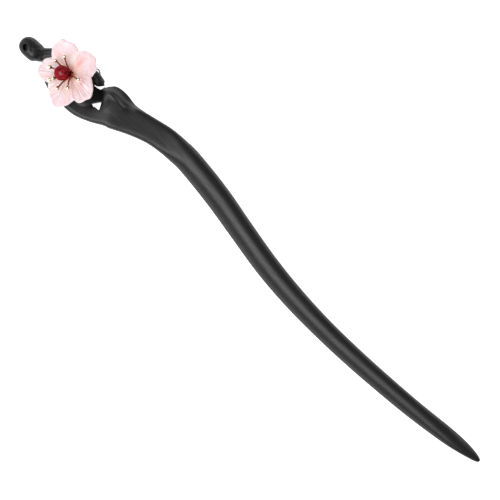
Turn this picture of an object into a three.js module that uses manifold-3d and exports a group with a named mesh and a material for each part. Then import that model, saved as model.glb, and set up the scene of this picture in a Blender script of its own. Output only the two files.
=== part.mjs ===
// Decorative hair pin: a carved dark wooden stick with a slanted shell blossom,
// a red bead on a wire post and ball-head pins for stamens.
//
// Millimetres. The pin lies on its flat back at z = 0. +X runs from the curled end to the point,
// +Z faces up, and the origin is the centre of the underside of the pin's box.
import * as THREE from 'three';
import { mergeVertices } from 'three/addons/utils/BufferGeometryUtils.js';
import Module from 'manifold-3d';

const wasm = await Module();
wasm.setup();

// ---- driving dimensions ----
const SECTION_SIDES = 16; // points round a limb's section
const STEPS_PER_STATION = 2; // rings between two stations of a limb
const ROUNDNESS = 2.3; // exponent of a limb's section: 2 is an ellipse, more is squarer
const CROWN = 0.55; // share of a limb's height above its widest level
const BELLY = 0.6; // the same below, before the flat back cuts it

const FLOWER_CENTRE = new THREE.Vector3(-73.0, 0.4, 9.0); // top of the blossom at its bore
const FLOWER_TILT = THREE.MathUtils.degToRad(30); // from +Z
const FLOWER_TILT_TOWARDS = THREE.MathUtils.degToRad(217); // direction of the lean, from +X
const FLOWER_RADIUS = 10; // where the petals' cup is measured
const FLOWER_THICKNESS = 1.0;
const FLOWER_RIM_THICKNESS = 0.7;
const FLOWER_BORE_RADIUS = 1.25;
// Petal centre lines in the blossom's plane, and how far each petal reaches.
const PETALS = [
  { angle: 149, reach: 10.5 },
  { angle: 72, reach: 10.1 },
  { angle: 5, reach: 10.5 },
  { angle: -68, reach: 10.2 },
  { angle: -145, reach: 10.5 },
];
const PETAL_NOTCH = 0.78; // radius at the notch between two petals, as a share
const PETAL_CUP = 1.4; // rise of the petal tips above the centre
const FIT_GAP = 0.3; // between pieces that rest on each other

const WOOD_BORE_RADIUS = 1.3;
const WOOD_BORE_DEPTH = 3.6; // below the blossom's seat
const SEAT_RADIUS = 3.2; // of the flat under the blossom; outside it the seat rises with the petals
const SEAT_RIM_HEIGHT = 0.1; // where the seat's cutter ends, just past the petals
const CUTTER_HEIGHT = 12; // taller than the wood anywhere

const BEAD_RADIUS = 2.2;
const BEAD_HEIGHT = 4.2; // bead centre above the blossom's centre
const BEAD_BORE_RADIUS = 0.5;
const BEAD_BORE_DEPTH = 2.4; // drilled half way
const POST_RADIUS = 0.25;

const STAMEN_WIRE_RADIUS = 0.23;
const STAMEN_BALL_RADIUS = 0.7;
const STAMEN_RING_RADIUS = 0.82; // circle that the pins stand on inside the bore
const STAMEN_ROOT = -4.0; // lower end of the pins, along the blossom's axis
const STAMEN_FIRST_ROOT = -172; // angle of the first pin inside the bore; the rest are evenly spaced
const STAMEN_BEND = { radius: 1.35, height: 0.95 }; // where a pin has left the bore and half turned
const STAMEN_MIDDLE = { reach: 0.55, rise: 0.56 }; // the middle of its slope, as shares of the ball's
// Where each ball stands round the blossom's axis: its direction, its distance from the axis and
// its height above the blossom's centre.
const STAMENS = [
  { azimuth: -157, reach: 5.2, rise: 3.4 },
  { azimuth: -115, reach: 4.9, rise: 3.4 },
  { azimuth: -110, reach: 3.4, rise: 4.0 },
  { azimuth: -69, reach: 4.7, rise: 3.4 },
  { azimuth: -23, reach: 4.6, rise: 3.4 },
  { azimuth: 25, reach: 5.6, rise: 3.4 },
  { azimuth: 132, reach: 4.8, rise: 3.4 },
  { azimuth: 172, reach: 4.8, rise: 3.4 },
];

const BOND_RADIUS = 1.0;
const BOND_HEIGHT = 0.5;

const BINDING_WIRE_RADIUS = 0.2;
const BINDING_HALF_WIDTH = 2.2; // across the side shoot
const BINDING_HALF_HEIGHT = 2.85;
const BINDING_CENTRE = new THREE.Vector3(-68.2, 5.0, 3.15);
const BINDING_LEAN = THREE.MathUtils.degToRad(30);

// ---- the wooden limbs, as stations [x, y, width, height, lift of the back above z = 0] ----
const SHANK = [
  [90.2, -3.5, 0.6, 0.7, 0.9],
  [89.3, -3.5, 1.4, 1.4, 0.5],
  [87.2, -3.55, 2.7, 2.3, 0.1],
  [84, -3.72, 3.9, 3.0, 0],
  [78, -4.22, 4.95, 3.9, 0],
  [66, -5.1, 5.45, 4.5, 0],
  [54, -5.5, 5.75, 4.8, 0],
  [42, -5.6, 6.0, 5.0, 0],
  [30, -5.25, 6.25, 5.2, 0],
  [18, -4.3, 6.7, 5.5, 0],
  [6, -2.55, 7.05, 5.8, 0],
  [-6, 0.05, 7.2, 6.0, 0],
  [-18, 2.75, 7.5, 6.2, 0],
  [-30, 4.7, 7.55, 6.4, 0],
  [-39, 4.85, 7.6, 6.6, 0],
  [-45, 4.0, 7.5, 6.9, 0],
  [-51, 2.35, 8.1, 7.2, 0],
  [-57, -0.4, 7.7, 7.4, 0],
  [-60.8, -3.9, 4.5, 6.6, 0],
  [-65.5, -5.5, 4.4, 6.2, 0],
  [-71, -5.4, 4.4, 6.0, 0],
  [-76.3, -4.35, 4.3, 5.0, 0],
  [-80.2, -1.3, 3.6, 4.2, 0],
  [-82.2, 0.2, 2.6, 3.4, 0.2],
];
const SHOULDER = [
  [-45, 4.5, 5.0, 5.6, 0],
  [-50, 3.5, 6.5, 6.3, 0],
  [-54, 2.75, 7.9, 6.8, 0],
  [-58, 3.05, 8.5, 7.0, 0],
  [-60.7, 3.4, 7.4, 7.0, 0],
  [-62.1, 3.4, 4.8, 6.8, 0],
  [-63, 3.3, 2.4, 6.2, 0],
];
const STRUT = [
  [-58, 3.2, 4.2, 6.4, 0],
  [-61.2, 2.7, 3.6, 5.9, 0],
  [-63.6, 0.7, 5.3, 5.5, 0],
  [-65.4, -0.9, 6.2, 6.0, 0],
  [-68.5, -1.4, 6.0, 7.4, 0],
  [-71.5, -0.1, 7.0, 7.8, 0],
  [-74.5, -0.2, 7.2, 7.6, 0],
  [-78, -0.2, 5.4, 5.6, 0],
  [-81, 0.0, 3.0, 3.8, 0],
];
const VINE = [
  [-63.95, 4.6, 0.7, 1.8, 2.0],
  [-64.5, 4.5, 2.3, 2.8, 1.5],
  [-66.2, 4.6, 3.2, 3.3, 1.5],
  [-68.4, 4.9, 3.1, 3.4, 1.5],
  [-72, 3.9, 3.4, 4.6, 0.6],
  [-76, 3.1, 3.6, 5.0, 0],
  [-79.6, 2.3, 4.0, 4.5, 0],
  [-82.2, 0.4, 3.9, 4.2, 0],
  [-84.3, -1.4, 5.0, 4.8, 0],
  [-86.4, -1.5, 5.8, 5.5, 0],
  [-88.6, -1.4, 5.2, 5.2, 0],
  [-89.8, -1.35, 3.7, 4.0, 0.2],
  [-90.3, -1.35, 1.6, 2.2, 0.9],
];

// The corners of the small opening between the strut and the lower limb.
const OPENING = [[-61.2, 0.75], [-59.9, -1.7], [-63.2, -1.8]];

const CURL_CENTRE = new THREE.Vector3(-88.0, -2.2, 5.5);
const CURL_EYE_RADIUS = 0.95;
const CURL_GROOVE_RADIUS = 0.35;
// The groove winds round the eye from one angle to the other while its reach grows.
const CURL_GROOVE_TURN = { from: 1.1 * Math.PI, to: -0.35 * Math.PI };
const CURL_GROOVE_REACH = { from: 1.2, to: 2.7 };

const UP = new THREE.Vector3(0, 0, 1);
const FLOWER_AXIS = new THREE.Vector3(
  Math.sin(FLOWER_TILT) * Math.cos(FLOWER_TILT_TOWARDS),
  Math.sin(FLOWER_TILT) * Math.sin(FLOWER_TILT_TOWARDS),
  Math.cos(FLOWER_TILT),
);

// ---- materials ----
function material(color, roughness, metalness = 0) {
  return new THREE.MeshStandardMaterial({ color, roughness, metalness });
}

const EBONY = material(0x2a2a2b, 0.45);
const PINK_SHELL = material(0xf6dcda, 0.3);
const RED_GLASS = material(0x8a141e, 0.1);
const DARK_WIRE = material(0x64301f, 0.35, 0.8);
const BRASS = material(0xb58a55, 0.3, 0.9);
const BLACKENED_WIRE = material(0x3a3636, 0.35, 0.8);
const SET_ADHESIVE = material(0xd8d2c0, 0.5);

// ---- closed meshes and booleans ----
function closedGeometry(positions, triangles) {
  const geometry = new THREE.BufferGeometry();
  geometry.setAttribute('position', new THREE.Float32BufferAttribute(positions, 3));
  geometry.setIndex(triangles);
  return geometry;
}

function welded(geometry) {
  geometry.deleteAttribute('normal');
  geometry.deleteAttribute('uv');
  return mergeVertices(geometry, 1e-4);
}

function solidOf(geometry) {
  const closed = welded(geometry);
  return new wasm.Manifold(
    new wasm.Mesh({
      numProp: 3,
      vertProperties: new Float32Array(closed.attributes.position.array),
      triVerts: new Uint32Array(closed.index.array),
    }),
  );
}

function geometryOf(solid) {
  const mesh = solid.getMesh();
  return closedGeometry(Array.from(mesh.vertProperties), Array.from(mesh.triVerts));
}

// Rings of equal size joined side to side, with a point closing each end.
function loft(rings) {
  const sides = rings[0].length;
  const positions = [];
  const triangles = [];
  for (const point of rings.flat()) {
    positions.push(point.x, point.y, point.z);
  }
  for (let ring = 0; ring + 1 < rings.length; ring += 1) {
    for (let side = 0; side < sides; side += 1) {
      const next = (side + 1) % sides;
      const a = ring * sides + side;
      const b = ring * sides + next;
      triangles.push(a, b, b + sides, a, b + sides, a + sides);
    }
  }
  for (const ring of [0, rings.length - 1]) {
    const middle = new THREE.Vector3();
    for (const point of rings[ring]) {
      middle.addScaledVector(point, 1 / sides);
    }
    const apex = positions.length / 3;
    positions.push(middle.x, middle.y, middle.z);
    for (let side = 0; side < sides; side += 1) {
      const a = ring * sides + side;
      const b = ring * sides + ((side + 1) % sides);
      triangles.push(...(ring === 0 ? [apex, b, a] : [apex, a, b]));
    }
  }
  return closedGeometry(positions, triangles);
}

// ---- the wooden stick ----
// One limb: a rounded section with a flat back, carried along its stations.
function limb(stations) {
  const path = new THREE.CatmullRomCurve3(
    stations.map(([x, y]) => new THREE.Vector3(x, y, 0)), false, 'catmullrom', 0.5,
  );
  const sizes = new THREE.CatmullRomCurve3(
    stations.map(([, , width, height, lift]) => new THREE.Vector3(width, height, lift)),
    false, 'catmullrom', 0.5,
  );
  const steps = (stations.length - 1) * STEPS_PER_STATION;
  const power = 2 / ROUNDNESS;
  const rings = [];
  for (let step = 0; step <= steps; step += 1) {
    const centre = path.getPoint(step / steps);
    const along = path.getTangent(step / steps);
    const across = new THREE.Vector3().crossVectors(UP, along).normalize();
    const { x: width, y: height, z: liftHere } = sizes.getPoint(step / steps);
    const lift = Math.max(0, liftHere);
    const ring = [];
    for (let side = 0; side < SECTION_SIDES; side += 1) {
      const angle = (side / SECTION_SIDES) * 2 * Math.PI;
      const lateral = Math.sign(Math.cos(angle)) * Math.abs(Math.cos(angle)) ** power;
      const vertical = Math.sign(Math.sin(angle)) * Math.abs(Math.sin(angle)) ** power;
      const level = 1 - CROWN + vertical * (vertical > 0 ? CROWN : BELLY);
      const point = centre.clone().addScaledVector(across, (lateral * width) / 2);
      point.z = lift + Math.max(0, level) * height;
      ring.push(point);
    }
    rings.push(ring);
  }
  return loft(rings);
}

// Stands a shape made round +Y at the blossom's centre, along its axis.
function alongFlowerAxis(geometry) {
  const standing = new THREE.Vector3(0, 1, 0);
  geometry.applyQuaternion(new THREE.Quaternion().setFromUnitVectors(standing, FLOWER_AXIS));
  geometry.translate(...FLOWER_CENTRE);
  return geometry;
}

// The cutter that leaves the seat under the blossom and clears its cupped petals.
function seatCutter() {
  const seat = -FLOWER_THICKNESS - FIT_GAP;
  const rim = FLOWER_RADIUS + 1;
  const profile = [
    new THREE.Vector2(0, seat),
    new THREE.Vector2(SEAT_RADIUS, seat),
    new THREE.Vector2(rim, SEAT_RIM_HEIGHT),
    new THREE.Vector2(rim, CUTTER_HEIGHT),
    new THREE.Vector2(0, CUTTER_HEIGHT),
  ];
  return alongFlowerAxis(new THREE.LatheGeometry(profile, 32));
}

function boreCutter() {
  const top = 1;
  const bottom = -FLOWER_THICKNESS - FIT_GAP - WOOD_BORE_DEPTH;
  const cylinder = new THREE.CylinderGeometry(WOOD_BORE_RADIUS, WOOD_BORE_RADIUS, top - bottom, 16);
  cylinder.translate(0, (top + bottom) / 2, 0);
  return alongFlowerAxis(cylinder);
}

// The spiral eye and its groove, carved in the top of the curled end.
function curlCutters() {
  const eye = new THREE.SphereGeometry(CURL_EYE_RADIUS, 12, 8);
  eye.translate(CURL_CENTRE.x, CURL_CENTRE.y, CURL_CENTRE.z);
  const turns = [];
  const count = 9;
  for (let step = 0; step <= count; step += 1) {
    const angle = THREE.MathUtils.lerp(CURL_GROOVE_TURN.from, CURL_GROOVE_TURN.to, step / count);
    const reach = THREE.MathUtils.lerp(CURL_GROOVE_REACH.from, CURL_GROOVE_REACH.to, step / count);
    turns.push(new THREE.Vector3(
      CURL_CENTRE.x + 1.1 * reach * Math.cos(angle) + 0.5,
      CURL_CENTRE.y + 0.9 * reach * Math.sin(angle) + 0.4,
      CURL_CENTRE.z - 0.15,
    ));
  }
  const section = new THREE.Shape();
  section.absarc(0, 0, CURL_GROOVE_RADIUS, 0, 2 * Math.PI);
  const groove = new THREE.ExtrudeGeometry(section, {
    steps: 14,
    curveSegments: 8,
    extrudePath: new THREE.CatmullRomCurve3(turns),
  });
  return [eye, groove];
}

// Cuts the opening straight through the head.
function openingCutter() {
  const outline = new THREE.Shape(OPENING.map(([x, y]) => new THREE.Vector2(x, y)));
  const cutter = new THREE.ExtrudeGeometry(outline, { depth: CUTTER_HEIGHT, bevelEnabled: false });
  return cutter.translate(0, 0, -1);
}

function woodStick() {
  let solid = solidOf(limb(SHANK));
  for (const stations of [SHOULDER, STRUT, VINE]) {
    solid = solid.add(solidOf(limb(stations)));
  }
  for (const cutter of [seatCutter(), boreCutter(), openingCutter(), ...curlCutters()]) {
    solid = solid.subtract(solidOf(cutter));
  }
  return geometryOf(solid);
}

// ---- the blossom, modelled with its centre at the origin and its axis along +Z ----
// Radius of the rim at an angle: full at a petal's centre line, notched between two petals.
function rimRadius(angle) {
  let radius = 0;
  for (let petal = 0; petal < PETALS.length; petal += 1) {
    const here = PETALS[petal];
    const after = PETALS[(petal + 1) % PETALS.length];
    const span = THREE.MathUtils.euclideanModulo(here.angle - after.angle, 360);
    const offset = THREE.MathUtils.euclideanModulo(here.angle - THREE.MathUtils.radToDeg(angle), 360);
    if (offset <= span) {
      const towardsNotch = (2 * Math.min(offset, span - offset)) / span;
      const reach = THREE.MathUtils.lerp(here.reach, after.reach, offset / span);
      radius = reach * (1 - (1 - PETAL_NOTCH) * towardsNotch ** 3);
    }
  }
  return radius;
}

function flowerGeometry() {
  const spokes = 50;
  const circles = 4;
  const positions = [];
  const triangles = [];
  for (let spoke = 0; spoke < spokes; spoke += 1) {
    const angle = (spoke / spokes) * 2 * Math.PI;
    const rim = rimRadius(angle);
    for (const face of [0, 1]) {
      for (let circle = 0; circle <= circles; circle += 1) {
        const share = circle / circles;
        const radius = THREE.MathUtils.lerp(FLOWER_BORE_RADIUS, rim, share);
        const thickness = THREE.MathUtils.lerp(FLOWER_THICKNESS, FLOWER_RIM_THICKNESS, share);
        const top = PETAL_CUP * (radius / FLOWER_RADIUS) ** 1.8;
        positions.push(radius * Math.cos(angle), radius * Math.sin(angle), top - face * thickness);
      }
    }
  }
  const perFace = circles + 1;
  const perSpoke = 2 * perFace;
  // Once round a spoke's section: out along the top, down the rim, back along the underside.
  const section = [];
  for (let circle = 0; circle <= circles; circle += 1) {
    section.push(circle);
  }
  for (let circle = circles; circle >= 0; circle -= 1) {
    section.push(perFace + circle);
  }
  for (let spoke = 0; spoke < spokes; spoke += 1) {
    const here = spoke * perSpoke;
    const next = ((spoke + 1) % spokes) * perSpoke;
    for (let corner = 0; corner < section.length; corner += 1) {
      const a = section[corner];
      const b = section[(corner + 1) % section.length];
      triangles.push(here + a, here + b, next + b, here + a, next + b, next + a);
    }
  }
  return closedGeometry(positions, triangles);
}

// ---- bead, post, pins and bond, all standing on the blossom's axis (+Z here) ----
function lathedAlongZ(profile, segments) {
  const points = profile.map(([radius, height]) => new THREE.Vector2(radius, height));
  return new THREE.LatheGeometry(points, segments).rotateX(Math.PI / 2);
}

function beadGeometry() {
  const profile = [[0, BEAD_BORE_DEPTH - BEAD_RADIUS]];
  profile.push([BEAD_BORE_RADIUS, BEAD_BORE_DEPTH - BEAD_RADIUS]);
  const start = Math.asin(BEAD_BORE_RADIUS / BEAD_RADIUS);
  const steps = 10;
  for (let step = 0; step <= steps; step += 1) {
    const angle = start + ((Math.PI - start) * step) / steps;
    const radius = step === steps ? 0 : BEAD_RADIUS * Math.sin(angle);
    profile.push([radius, -BEAD_RADIUS * Math.cos(angle)]);
  }
  return lathedAlongZ(profile, 16).translate(0, 0, BEAD_HEIGHT);
}

function rod(radius, bottom, top) {
  return new THREE.CylinderGeometry(radius, radius, top - bottom, 10)
    .rotateX(Math.PI / 2)
    .translate(0, 0, (top + bottom) / 2);
}

function postGeometry() {
  const top = BEAD_HEIGHT - BEAD_RADIUS + BEAD_BORE_DEPTH - FIT_GAP;
  return rod(POST_RADIUS, STAMEN_ROOT, top);
}

// A ball-head pin: straight in the bore, then bent outwards and round to its own direction.
function stamenGeometry({ azimuth, reach, rise }, index) {
  const root = STAMEN_FIRST_ROOT + (index * 360) / STAMENS.length;
  const turn = THREE.MathUtils.euclideanModulo(azimuth - root + 180, 360) - 180;
  const at = (radius, height, share) => {
    const angle = THREE.MathUtils.degToRad(root + turn * share);
    return new THREE.Vector3(radius * Math.cos(angle), radius * Math.sin(angle), height);
  };
  const path = new THREE.CatmullRomCurve3([
    at(STAMEN_RING_RADIUS, STAMEN_ROOT, 0),
    at(STAMEN_RING_RADIUS, STAMEN_ROOT / 2, 0),
    at(STAMEN_RING_RADIUS, -0.1, 0),
    at(STAMEN_BEND.radius, STAMEN_BEND.height, 0.5),
    at(STAMEN_MIDDLE.reach * reach, STAMEN_MIDDLE.rise * rise, 1),
    at(reach, rise, 1),
  ]);
  const section = new THREE.Shape();
  section.absarc(0, 0, STAMEN_WIRE_RADIUS, 0, 2 * Math.PI);
  const wire = new THREE.ExtrudeGeometry(section, { steps: 12, curveSegments: 4, extrudePath: path });
  const ball = new THREE.SphereGeometry(STAMEN_BALL_RADIUS, 10, 7).translate(...at(reach, rise, 1));
  return geometryOf(solidOf(wire).add(solidOf(ball)));
}

function bondGeometry() {
  const top = STAMEN_ROOT - FIT_GAP;
  return rod(BOND_RADIUS, top - BOND_HEIGHT, top);
}

function bindingGeometry() {
  const ring = new THREE.TorusGeometry(1, BINDING_WIRE_RADIUS, 6, 28);
  const { position } = ring.attributes;
  for (let index = 0; index < position.count; index += 1) {
    const point = new THREE.Vector3().fromBufferAttribute(position, index);
    const angle = Math.atan2(point.y, point.x);
    const out = Math.hypot(point.x, point.y) - 1;
    point.x = (BINDING_HALF_WIDTH + out) * Math.cos(angle);
    point.y = (BINDING_HALF_HEIGHT + out) * Math.sin(angle);
    position.setXYZ(index, point.x, point.y, point.z);
  }
  return welded(ring);
}

// ---- assembly ----
function named(name, geometry, surface) {
  const mesh = new THREE.Mesh(geometry, surface);
  mesh.name = name;
  return mesh;
}

const pin = new THREE.Group();
pin.add(named('wood_stick', woodStick(), EBONY));

const blossom = new THREE.Group();
const acrossFlower = new THREE.Vector3(1, 0, 0).addScaledVector(FLOWER_AXIS, -FLOWER_AXIS.x).normalize();
const upFlower = new THREE.Vector3().crossVectors(FLOWER_AXIS, acrossFlower);
blossom.quaternion.setFromRotationMatrix(new THREE.Matrix4().makeBasis(acrossFlower, upFlower, FLOWER_AXIS));
blossom.position.copy(FLOWER_CENTRE);
blossom.add(named('shell_flower', flowerGeometry(), PINK_SHELL));
blossom.add(named('red_bead', beadGeometry(), RED_GLASS));
blossom.add(named('bead_post', postGeometry(), DARK_WIRE));
blossom.add(named('bond_plug', bondGeometry(), SET_ADHESIVE));
STAMENS.forEach((stamen, index) => {
  blossom.add(named(`stamen_${index + 1}`, stamenGeometry(stamen, index), BRASS));
});
pin.add(blossom);

const binding = named('binding_wire', bindingGeometry(), BLACKENED_WIRE);
const leanSine = Math.sin(BINDING_LEAN);
const leanCosine = Math.cos(BINDING_LEAN);
const bindingAxis = new THREE.Vector3(leanCosine, 0, leanSine);
const bindingUp = new THREE.Vector3(-leanSine, 0, leanCosine);
binding.quaternion.setFromRotationMatrix(
  new THREE.Matrix4().makeBasis(new THREE.Vector3(0, 1, 0), bindingUp, bindingAxis),
);
binding.position.copy(BINDING_CENTRE);
pin.add(binding);

export default pin;
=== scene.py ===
import math

import bpy
import numpy as np
from mathutils import Matrix, Vector


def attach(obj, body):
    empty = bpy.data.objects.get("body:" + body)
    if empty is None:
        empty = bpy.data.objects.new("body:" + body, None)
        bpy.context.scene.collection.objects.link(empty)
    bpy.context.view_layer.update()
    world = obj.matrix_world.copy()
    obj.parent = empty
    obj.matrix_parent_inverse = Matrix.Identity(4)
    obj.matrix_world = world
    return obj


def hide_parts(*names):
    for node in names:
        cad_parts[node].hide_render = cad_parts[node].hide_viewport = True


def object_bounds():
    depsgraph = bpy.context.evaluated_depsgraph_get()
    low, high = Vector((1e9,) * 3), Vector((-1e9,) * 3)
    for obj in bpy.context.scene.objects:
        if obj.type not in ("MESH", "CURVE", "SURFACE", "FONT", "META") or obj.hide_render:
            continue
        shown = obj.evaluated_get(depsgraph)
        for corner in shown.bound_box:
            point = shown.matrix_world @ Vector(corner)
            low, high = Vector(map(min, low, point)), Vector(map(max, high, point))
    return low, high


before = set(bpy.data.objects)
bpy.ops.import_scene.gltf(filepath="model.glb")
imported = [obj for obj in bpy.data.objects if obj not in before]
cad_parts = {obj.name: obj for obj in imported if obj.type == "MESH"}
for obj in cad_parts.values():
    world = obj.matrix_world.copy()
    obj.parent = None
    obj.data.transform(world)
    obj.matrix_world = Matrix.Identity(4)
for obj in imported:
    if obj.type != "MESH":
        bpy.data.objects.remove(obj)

CAD_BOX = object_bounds()
MM = 0.001

# ---------------------------------------------------------------------------
# Driving dimensions, in millimetres and in the CAD frame.
# ---------------------------------------------------------------------------
BACK_ROUND = 0.45  # softening of the edge between each limb's sides and its flat back
BACK_EDGE = 0.2  # the same for all limbs together, once they are blended
CUT_EDGE = 0.3  # the same round the opening and the cleft
SEAT_EDGE = 0.25  # the same round the curl's eye and the blossom's seat
LIMB_BLEND = 0.5  # how softly one carved limb runs into the next
CORNER_ROUND = 0.35  # how softly the opening and the cleft turn their corners
CROWN = 0.55  # share of a limb's height above its widest level
BELLY = 0.6  # the same below it, before the flat back cuts it
SLOPE_FADE = 1.0  # an upper side's slope sets in from this far below the widest level to this far above

FLOWER_CENTRE = Vector((-73.0, 0.4, 9.0))
FLOWER_TILT = math.radians(30)
FLOWER_TILT_TOWARDS = math.radians(217)
FLOWER_RADIUS = 10.0
FLOWER_THICKNESS = 1.0
FLOWER_RIM_THICKNESS = 0.7
FLOWER_BORE = 1.25
PETAL_CUP = 1.4
FIT_GAP = 0.3

WOOD_BORE = 1.3
WOOD_BORE_DEPTH = 3.6
SEAT_FLAT = 3.2  # the seat's floor is level out to here and rises beyond
SEAT_RIM_HEIGHT = 0.1  # height of its floor just outside the blossom
NOT_UNDER = -9.0  # the seat's field where the blossom isn't overhead

BEAD_RADIUS = 2.2
BEAD_HEIGHT = 4.2
BEAD_BORE = 0.5
BEAD_BORE_DEPTH = 2.4
BEAD_BEVEL = 0.08
BEAD_MOUTH_DEPTH = 0.12
POST_RADIUS = 0.25
POST_TWIST = 9  # waves along the post, in radians for each millimetre
POST_TWIST_DEPTH = 0.08

WIRE_RADIUS = 0.23
BALL_RADIUS = 0.7
CUP_ANGLE = 62  # how far the dark solder reaches round each ball from its wire, in degrees
WIRE_STOP = 1.02  # the wire's own rings stop this many radii from the ball's centre
BALL_TIP = 0.02  # the ball's last ring stands this far from its very end, in radians
BUNDLE_SWELL = 1.25  # how much thicker the wires are where they stand together
BUNDLE_TOP = 1.4  # the swelling ends at this height and is full from the next one down
BUNDLE_FULL = 0.2
PIN_RING = 0.82  # distance of the pins' roots from the axis
PIN_ROOT = -4.0
PIN_COLLAR = -0.1  # height at which the pins start to bend outwards
PIN_FIRST_ROOT = -172  # azimuth of the first pin's root, in degrees
PIN_BEND = (1.35, 0.95)  # distance from the axis and height of every pin's first bend
PIN_MIDDLE = (0.55, 0.56)  # the middle knot's share of the ball's distance and height
# Azimuth in degrees, distance from the axis and height of each ball.
PINS = [(-157, 5.2, 3.4), (-115, 4.9, 3.4), (-110, 3.4, 4.0), (-69, 4.7, 3.4),
        (-23, 4.6, 3.4), (25, 5.6, 3.4), (132, 4.8, 3.4), (172, 4.8, 3.4)]

BINDING_RADIUS = 0.2
BINDING_HALF_WIDTH = 2.0
BINDING_HALF_HEIGHT = 2.85
BINDING_CENTRE = Vector((-68.2, 5.0, 3.15))
BINDING_LEAN = math.radians(30)

# Wooden limbs: x, y, width, height, lift of the back, how square the section is, and how far its
# upper side slopes down towards the left of the way that the stations run.
SHANK = [
    (89.55, -3.5, 1.5, 1.3, 0.6, 2.0, -0.1),
    (88.8, -3.5, 2.1, 1.8, 0.3, 2.0, -0.2),
    (87.2, -3.55, 2.8, 2.3, 0.1, 2.0, -0.3),
    (84, -3.72, 3.9, 3.0, 0, 2.0, -0.35),
    (78, -4.22, 4.95, 3.9, 0, 2.0, -0.1),
    (66, -5.1, 5.45, 4.5, 0, 2.1, 0.14),
    (54, -5.5, 5.75, 4.8, 0, 2.1, 0.18),
    (42, -5.6, 6.0, 5.0, 0, 2.1, 0.18),
    (30, -5.25, 6.25, 5.2, 0, 2.1, 0.18),
    (18, -4.3, 6.7, 5.5, 0, 2.1, 0.18),
    (6, -2.55, 7.05, 5.8, 0, 2.1, 0.18),
    (-6, 0.05, 7.2, 6.0, 0, 2.1, 0.18),
    (-18, 2.75, 7.5, 6.2, 0, 2.1, 0.18),
    (-30, 4.7, 7.55, 6.4, 0, 2.3, 0.14),
    (-35, 4.95, 7.6, 6.5, 0, 3.0, 0.05),
    (-40, 4.8, 7.6, 6.6, 0, 5.6, -0.02),
    (-45, 4.0, 7.5, 6.9, 0, 6.0, -0.05),
    (-51, 2.35, 8.1, 7.2, 0, 7.0, -0.08),
    (-57, -0.42, 7.9, 7.4, 0, 7.0, -0.12),
    (-60.8, -3.9, 4.5, 6.6, 0, 5.5, -0.2),
    (-65.5, -5.5, 4.4, 6.2, 0, 4.4, -0.18),
    (-71, -5.4, 4.4, 6.0, 0, 3.2, -0.1),
    (-76.3, -4.35, 4.3, 5.0, 0, 2.3, 0),
    (-80.2, -1.3, 3.6, 4.2, 0, 2.3, 0),
    (-82.2, 0.2, 2.6, 3.4, 0.2, 2.3, 0),
]
SHOULDER = [
    (-45, 4.5, 5.0, 5.6, 0, 2.4, 0),
    (-50, 3.5, 6.5, 6.3, 0, 3.4, 0),
    (-54, 2.75, 7.9, 6.8, 0, 5.4, -0.05),
    (-58, 3.05, 8.5, 7.0, 0, 5.4, -0.06),
    (-60.7, 3.4, 7.4, 7.0, 0, 3.6, 0),
    (-62.1, 3.4, 4.8, 6.8, 0, 2.6, 0),
    (-63, 3.3, 2.4, 6.2, 0, 2.3, 0),
]
STRUT = [
    (-58, 3.2, 4.2, 6.4, 0, 2.3, 0),
    (-61.2, 2.7, 3.6, 5.6, 0, 4.5, -0.35),
    (-63.6, 0.7, 5.3, 5.0, 0, 5.0, -0.4),
    (-65.4, -0.3, 7.4, 5.6, 0, 4.0, -0.35),
    (-68.5, -0.6, 7.6, 7.6, 0, 3.2, 0),
    (-71.5, 0.3, 7.8, 7.9, 0, 4.0, 0),
    (-74.5, 0.0, 7.4, 7.7, 0, 4.0, 0),
    (-78, -0.2, 5.4, 5.6, 0, 2.3, 0),
    (-81, 0.0, 3.0, 3.8, 0, 2.3, 0),
]
VINE = [
    (-63.95, 4.6, 0.7, 1.8, 2.0, 2.3, 0),
    (-64.5, 4.5, 2.3, 2.8, 1.5, 2.3, 0),
    (-66.2, 4.6, 3.2, 3.3, 1.5, 2.2, 0),
    (-68.4, 4.9, 3.1, 3.4, 1.5, 2.2, 0),
    (-72, 3.9, 3.4, 4.6, 0.6, 2.3, 0),
    (-76, 3.1, 3.6, 5.0, 0, 2.3, 0),
    (-79.6, 2.3, 4.0, 4.5, 0, 2.3, 0),
    (-82.2, 0.4, 3.8, 4.2, 0, 2.4, 0),
    (-84.1, -1.35, 4.0, 4.6, 0, 2.4, 0),
    (-86.4, -1.7, 3.6, 4.8, 0, 2.4, 0),
]
# The curl's head: a straight middle between two round ends.
CURL_MIDDLE = [(-87.2, -1.5), (-85.3, -1.5)]
CURL_ENDS = (3.45, 2.0)
CURL_HALF_WIDTH = 2.9
CURL_HEIGHT = 5.5
CURL_SLOPE = 0.16
CURL_PLAN_POWER = 2.2
CURL_SECTION_POWER = 2.3
OPENING = [(-61.2, 0.75), (-59.9, -1.7), (-63.2, -1.8)]
CLEFT = [(-65.2, 3.05), (-63.6, 4.9), (-63.6, 3.1)]

# Carved relief on the wood's upper side: the ridge of the hump; the slope that falls away beyond it
# and fades out towards the line from the ridge's end to the valley's end; the hollow in that slope.
# The fades are distances to the left of that line, or values of x.
RIDGE = [(-63.8, 3.5), (-61.0, 4.0), (-58.6, 4.0), (-56.4, 3.7), (-54.6, 3.35)]
CREST_HEIGHT = 0.14
CREST_WIDTH = 0.5
CREST_FADE = (-0.2, 0.6)
CREST_FADE_X = (-64.5, -63)
VALLEY_END = (-52.4, 6.2)
VALLEY_SLOPE = 0.62
VALLEY_DEPTH = 1.9
VALLEY_START = 0.15  # how far short of the ridge's line the slope starts
VALLEY_FADE = (-0.8, 3.4)
VALLEY_FADE_X = (-66, -63.5)
HOLLOW = (-56.1, 0.95)  # its x and its distance beyond the ridge's line
HOLLOW_SIZES = (2.2, 1.0)
HOLLOW_DEPTH = 0.5
RELIEF_FADE = (3.0, 4.6)  # the carving sets in between these heights

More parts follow.
